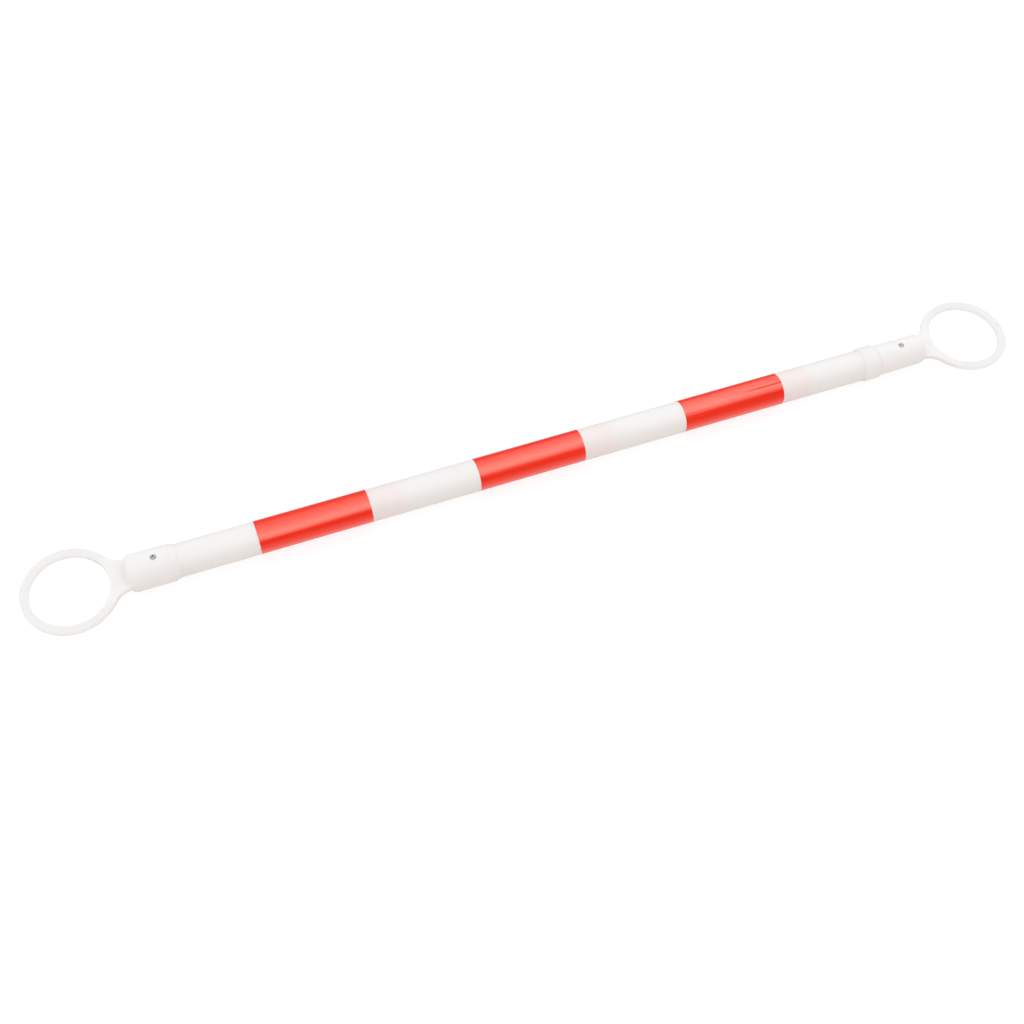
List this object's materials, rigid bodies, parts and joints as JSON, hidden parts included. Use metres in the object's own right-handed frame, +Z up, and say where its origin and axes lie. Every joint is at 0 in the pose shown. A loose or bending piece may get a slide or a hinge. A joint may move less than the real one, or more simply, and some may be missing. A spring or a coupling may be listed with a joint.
{
  "type": "extendable barrier pole",
  "caption": "Telescopic red and white barrier pole with a flat ring at each end that drops over a traffic cone; the inner tube slides out of the outer tube and turns in it.",
  "frame": {"origin": "centre of the fixed ring's bore, half way up the ring", "axes": "+X along the pole from the fixed ring to the sliding ring, +Z up, along the axis of both rings, on the side of the screw heads"},
  "size_m": [1.16, 0.101, 0.0417],
  "materials": {
    "white_moulding": "satin moulded white plastic",
    "white_tube": "smooth extruded white plastic",
    "red_film": "glossy red film",
    "screw_steel": "zinc plated",
    "bearing_plastic": "natural bearing plastic",
    "plug_plastic": "matt moulded white plastic",
    "friction_rubber": "matt white silicone rubber"
  },
  "bodies": {
    "outer_section": {"fixed_ring_end": "white_moulding", "fixed_ring_screw": "screw_steel", "outer_tube": "white_tube", "mouth_collar": "white_moulding", "red_band_1": "red_film", "red_band_2": "red_film", "red_band_3": "red_film"},
    "guide": {"guide_ring": "bearing_plastic", "friction_ring": "friction_rubber"},
    "inner_section": {"slide_plug": "plug_plastic", "inner_tube": "white_tube", "inner_red_band_1": "red_film", "inner_red_band_2": "red_film", "inner_red_band_3": "red_film", "sliding_ring_end": "white_moulding", "sliding_ring_screw": "screw_steel"}
  },
  "joints": [
    {"name": "extend", "type": "slide", "parent": "outer_section", "child": "guide", "axis": [1, 0, 0], "range_m": [0, 0.81]},
    {"name": "twist", "type": "hinge", "parent": "guide", "child": "inner_section", "pos_m": [0.11, 0, 0], "axis": [1, 0, 0], "continuous": true}
  ]
}
